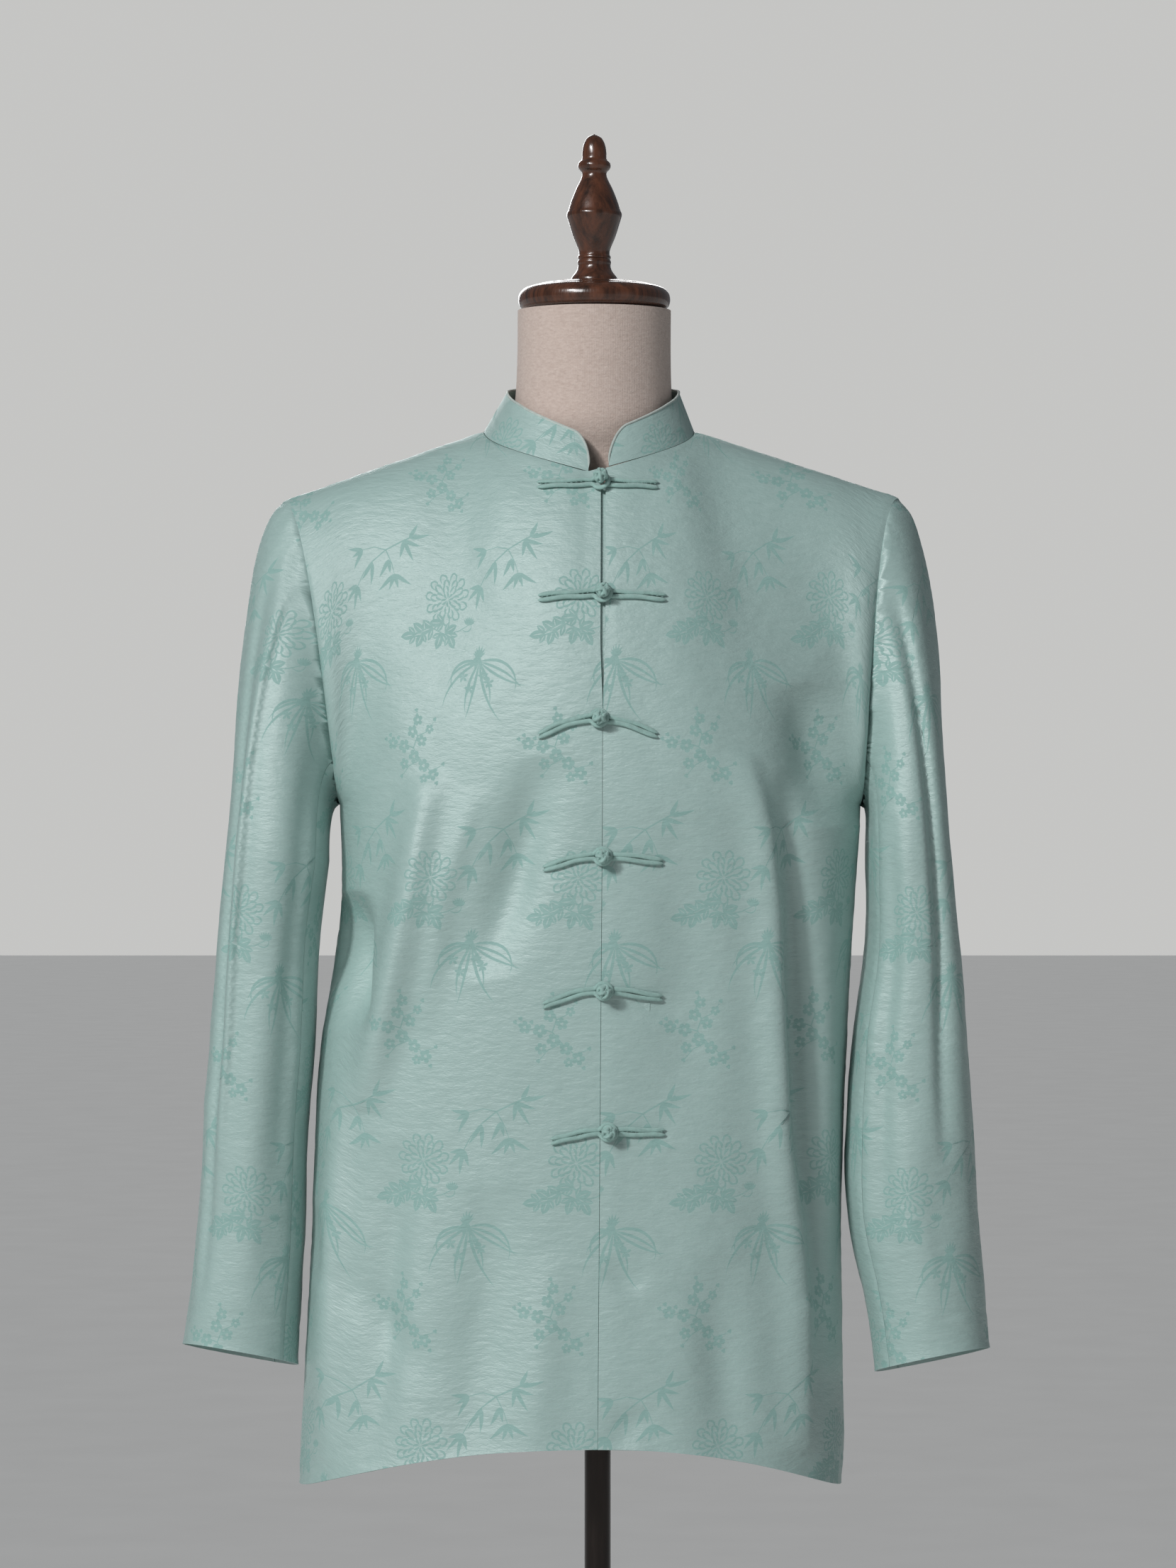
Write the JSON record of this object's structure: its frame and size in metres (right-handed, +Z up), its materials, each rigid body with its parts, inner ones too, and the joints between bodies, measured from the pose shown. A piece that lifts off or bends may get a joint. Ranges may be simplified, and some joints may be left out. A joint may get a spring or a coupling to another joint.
{
  "type": "tang jacket on a dress form",
  "caption": "Long-sleeved tang jacket with a stand collar and frog fastenings, worn on a limbless dress form with a turned wooden cap and a round metal stand.",
  "frame": {"origin": "on the floor, on the axis of the stand's pole, at the middle of the base's flat underside", "axes": "+Z up along the pole; the jacket's front faces -Y; +X is on the right of someone who looks at the front"},
  "size_m": [0.6, 0.37, 1.6274],
  "materials": {
    "silk": "pale sea-green silk jacquard with a satin sheen and tonal flower sprays",
    "piping": "narrow pale edging",
    "cord": "bias-cut silk cord, stitched in pairs",
    "linen": "plain pinkish-beige linen cover, matt",
    "walnut": "dark walnut, turned and varnished to a gloss",
    "stand_metal": "dark brown-black glossy metal"
  },
  "bodies": {
    "root": {"front_left": "silk", "front_right": "silk", "back": "silk", "sleeve_top_left": "silk", "sleeve_top_right": "silk", "sleeve_under_left": "silk", "sleeve_under_right": "silk", "placket_underlay": "silk", "collar": "silk", "collar_piping": "piping", "frog_1_loop": "cord", "frog_1_knot": "cord", "frog_2_loop": "cord", "frog_2_knot": "cord", "frog_3_loop": "cord", "frog_3_knot": "cord", "frog_4_loop": "cord", "frog_4_knot": "cord", "frog_5_loop": "cord", "frog_5_knot": "cord", "frog_6_loop": "cord", "frog_6_knot": "cord", "dress_form": "linen", "neck_cap": "walnut", "finial": "walnut", "form_plate": "stand_metal", "pole": "stand_metal", "base": "stand_metal"}
  },
  "joints": []
}
